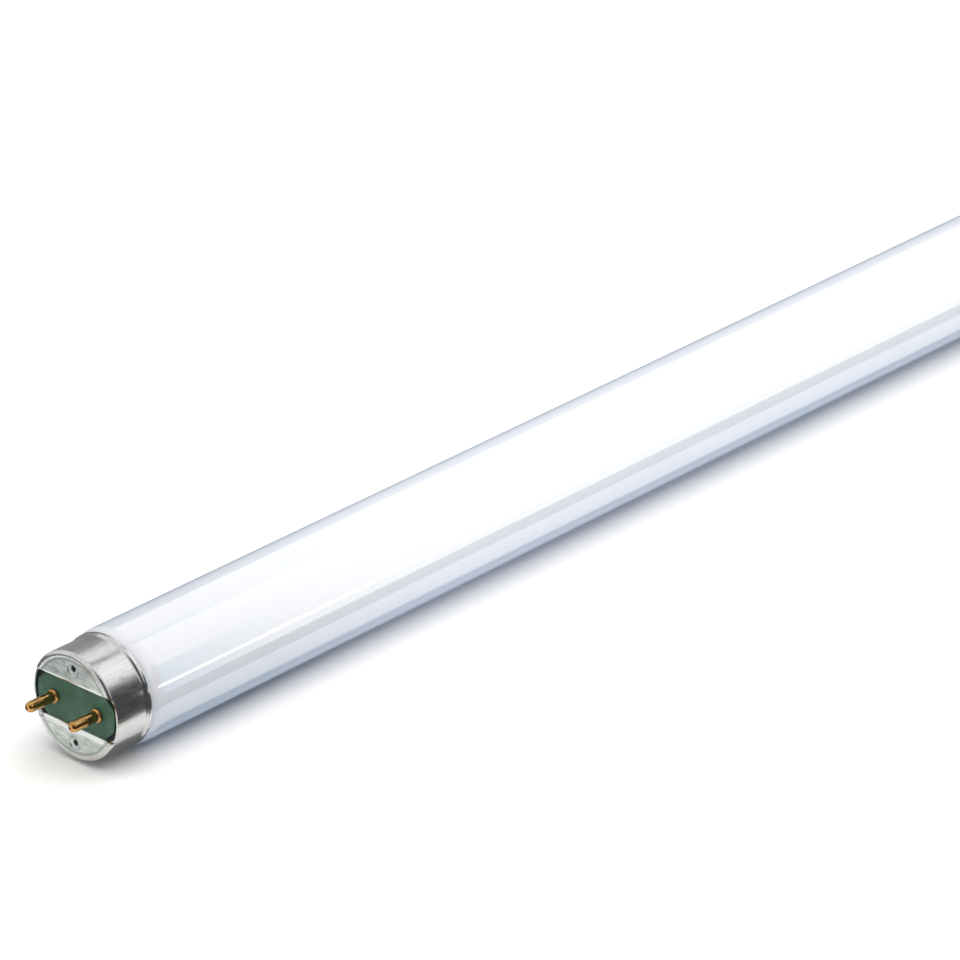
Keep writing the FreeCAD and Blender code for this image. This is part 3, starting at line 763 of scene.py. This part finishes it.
def add_floor_cards(scene):
    """Cards on the floor that give the metal its dark bands and the glass its two lines underneath."""
    low = FLOOR_Z + 0.05 * MM
    whole_floor = (-0.9, 1.2)
    clear = 28 * MM
    # In front a dark one, which rises away from the tube
    front_top = (-260 * MM, 110 * MM)
    add_card(scene, "front_flag", [(-clear, low), front_top], whole_floor, grey(0.075))
    # Behind a mid grey one, which draws the upper edge of the tube
    add_card(scene, "back_flag", [(500 * MM, low), (clear, low)], whole_floor, srgb("#7f848c"))
    # Close under the caps, and two narrower ones under the glass. The dark ones are sheets that put painted
    # shade into the reflections close under the tube, and the pale one is a painted reflection that gives the
    # glass a light line along its bottom edge
    past_rim = RIM - 5 * MM
    for end, way in ENDS.items():
        under_cap = sorted((way * (FACE - 1 * MM), way * past_rim))
        add_card(scene, f"{end}_cap_reflected_shade", [(9 * MM, low), (-11.5 * MM, low)], under_cap, grey(0.16))
    under_glass = (-past_rim, past_rim)
    meet = -9.8 * MM
    add_card(scene, "glass_reflected_shade", [(meet, low), (-13 * MM, low)], under_glass, srgb("#3c4f6c"))
    add_card(scene, "glass_lift", [(2 * MM, low), (meet, low)], under_glass, srgb("#93a3b5"))


def round_section(first, last):
    """A section bent round the tube between two angles from straight up, the one nearer the front first."""
    radius = 22 * MM
    steps = 12
    angles = [math.radians(first + (last - first) * k / steps) for k in range(steps + 1)]
    return [(-radius * math.sin(a), radius * math.cos(a)) for a in angles]


def add_glass_cards(scene):
    """Pale boxes and a dark edge bent round the glass, which give it its long bands and fine lines."""
    past_rim = RIM - 10.5 * MM
    over_glass = (-past_rim, past_rim)
    # The bands turn from blue near the caps to white over this length
    fade = (0, 36 * MM)
    # Straight over the tube a pale box, a brighter one beside it, and a faint line between the two
    add_card(scene, "glass_box", round_section(9, -30), over_glass, grey(1.15))
    add_card(scene, "glass_bright_box", round_section(54, 14), over_glass, grey(1.75))
    pale_blue = (0.58, 0.8, 0.87, 1.0)
    add_card(scene, "glass_seam", round_section(14, 9), over_glass, grey(1.2), edge=pale_blue, turn=fade)
    # Behind a dark edge, which ends in grey over the caps
    past_face = FACE - 7 * MM
    over_caps = (-past_face, past_face)
    dark_blue = (0.05, 0.12, 0.24, 1.0)
    behind = round_section(-30, -88)
    cap_fade = (12.5 * MM, 14 * MM)
    add_card(scene, "glass_edge", behind, over_caps, dark_blue, edge=grey(0.37), turn=cap_fade)
    # In front a third box, and the fine streak inside it
    sky_blue = (0.4, 0.85, 1.25, 1.0)
    add_card(scene, "glass_front", round_section(92, 54), over_glass, grey(1.9), edge=sky_blue, turn=fade)
    streak_end = RIM - 6.5 * MM
    streak = [(-20.5 * MM, 3.3 * MM), (-20.5 * MM, 4.7 * MM)]
    add_card(scene, "glass_streak", streak, (-streak_end, streak_end), grey(3.7))


def add_pin_cards(scene):
    """A narrow card along each pin, a little in front of its top, for its glint."""
    over_pin = 2.5 * MM
    front_edge, back_edge = 1.0 * MM, 0.1 * MM
    cool_white = (1.1, 1.25, 1.4, 1.0)
    for end, way in ENDS.items():
        along_pin = sorted((way * PIN_TIP, way * (FACE + 0.15 * MM)))
        for side, pin_y in (("left", -way * PIN_Y), ("right", way * PIN_Y)):
            glint = [(pin_y - front_edge, over_pin), (pin_y - back_edge, over_pin)]
            add_card(scene, f"{end}_{side}_glint", glint, along_pin, cool_white)


class TUBE_OT_stage(bpy.types.Operator):
    """Sets up the floor, the studio light and the camera"""

    bl_idname = "tube.stage"
    bl_label = "Stage"

    def execute(self, context):
        scene = context.scene
        add_camera(scene)
        add_floor(scene)
        add_world(scene)
        add_top_light(scene)
        add_floor_cards(scene)
        add_glass_cards(scene)
        add_pin_cards(scene)
        scene.view_settings.view_transform = "Standard"
        return {"FINISHED"}


class TUBE_PT_panel(bpy.types.Panel):
    """Lists the steps, the sizes and the colours"""

    bl_label = "Fluorescent Tube"
    bl_idname = "TUBE_PT_panel"
    bl_space_type = "VIEW_3D"
    bl_region_type = "UI"
    bl_category = "Tube"

    def draw(self, context):
        for step in STEPS:
            self.layout.operator(step.bl_idname)
        for group in (context.scene.tube_glass, context.scene.tube_finish):
            for name in group.__annotations__:
                self.layout.prop(group, name)


GROUPS = (TubeGlass, TubeFinish)
STEPS = (TUBE_OT_glass, TUBE_OT_caps, TUBE_OT_contacts, TUBE_OT_stage)


def register():
    for item in (*GROUPS, *STEPS, TUBE_PT_panel):
        bpy.utils.register_class(item)
    bpy.types.Scene.tube_glass = PointerProperty(type=TubeGlass)
    bpy.types.Scene.tube_finish = PointerProperty(type=TubeFinish)


def unregister():
    del bpy.types.Scene.tube_finish
    del bpy.types.Scene.tube_glass
    for item in reversed((*GROUPS, *STEPS, TUBE_PT_panel)):
        bpy.utils.unregister_class(item)


def main():
    register()
    bpy.ops.tube.glass()
    bpy.ops.tube.caps()
    bpy.ops.tube.contacts()
    bpy.ops.tube.stage()


if __name__ == "__main__":
    main()
